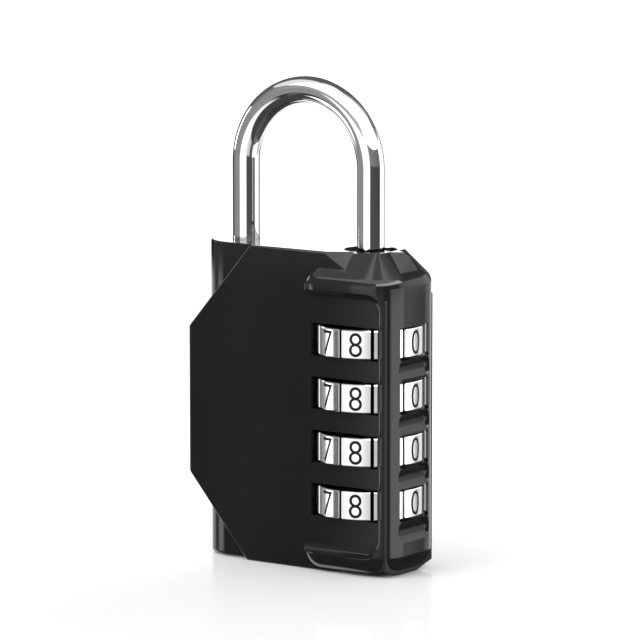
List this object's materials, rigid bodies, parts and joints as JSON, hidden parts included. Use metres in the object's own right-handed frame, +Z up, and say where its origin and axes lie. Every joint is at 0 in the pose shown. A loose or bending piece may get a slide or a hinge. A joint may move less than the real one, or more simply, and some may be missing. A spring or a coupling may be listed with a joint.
{
  "type": "combination padlock",
  "caption": "Combination padlock with a black cast body, side and front dial windows, and a chrome shackle that lifts when the dials line up.",
  "frame": {"origin": "centre of the box's bottom face, under the middle of the lock, on the surface that it stands on", "axes": "+Z up along the shackle's legs, -Y out of the front with the plate, +X towards the dial column and the heel leg"},
  "size_m": [0.042, 0.0182, 0.0826],
  "materials": {
    "black_lacquer": "satin black lacquer over a zinc casting, with bright worn edges",
    "chrome": "mirror chrome plate",
    "dial_enamel": "white satin enamel with black digits",
    "brass": "turned brass",
    "spring_steel": "plain spring steel",
    "nylon": "black nylon"
  },
  "bodies": {
    "case": {"housing": "black_lacquer", "back_cover": "black_lacquer", "cover_rivet_1": "black_lacquer", "cover_rivet_2": "black_lacquer", "cover_rivet_3": "black_lacquer", "cover_rivet_4": "black_lacquer", "spacer_1": "spring_steel", "spacer_2": "spring_steel", "spacer_3": "spring_steel", "heel_bushing": "nylon", "toe_bushing": "nylon", "shackle_spring": "spring_steel", "spring_seat": "brass", "detent_plate": "spring_steel", "detent_pin_1": "spring_steel", "detent_pin_2": "spring_steel"},
    "shackle_bar": {"shackle": "chrome"},
    "dial_wheel_1": {"dial_1": "dial_enamel", "clutch_hub_1": "brass"},
    "dial_wheel_2": {"dial_2": "dial_enamel", "clutch_hub_2": "brass"},
    "dial_wheel_3": {"dial_3": "dial_enamel", "clutch_hub_3": "brass"},
    "dial_wheel_4": {"dial_4": "dial_enamel", "clutch_hub_4": "brass"}
  },
  "joints": [
    {"name": "shackle_lift", "type": "slide", "parent": "case", "child": "shackle_bar", "axis": [0, 0, 1], "range_m": [0, 0.00907], "deforming": ["shackle_spring"]},
    {"name": "dial_1_turn", "type": "hinge", "parent": "case", "child": "dial_wheel_1", "pos_m": [0.01185, 0, 0.0393], "axis": [0, 0, 1], "continuous": true},
    {"name": "dial_2_turn", "type": "hinge", "parent": "case", "child": "dial_wheel_2", "pos_m": [0.01185, 0, 0.03023], "axis": [0, 0, 1], "continuous": true},
    {"name": "dial_3_turn", "type": "hinge", "parent": "case", "child": "dial_wheel_3", "pos_m": [0.01185, 0, 0.02116], "axis": [0, 0, 1], "continuous": true},
    {"name": "dial_4_turn", "type": "hinge", "parent": "case", "child": "dial_wheel_4", "pos_m": [0.01185, 0, 0.01209], "axis": [0, 0, 1], "continuous": true}
  ]
}
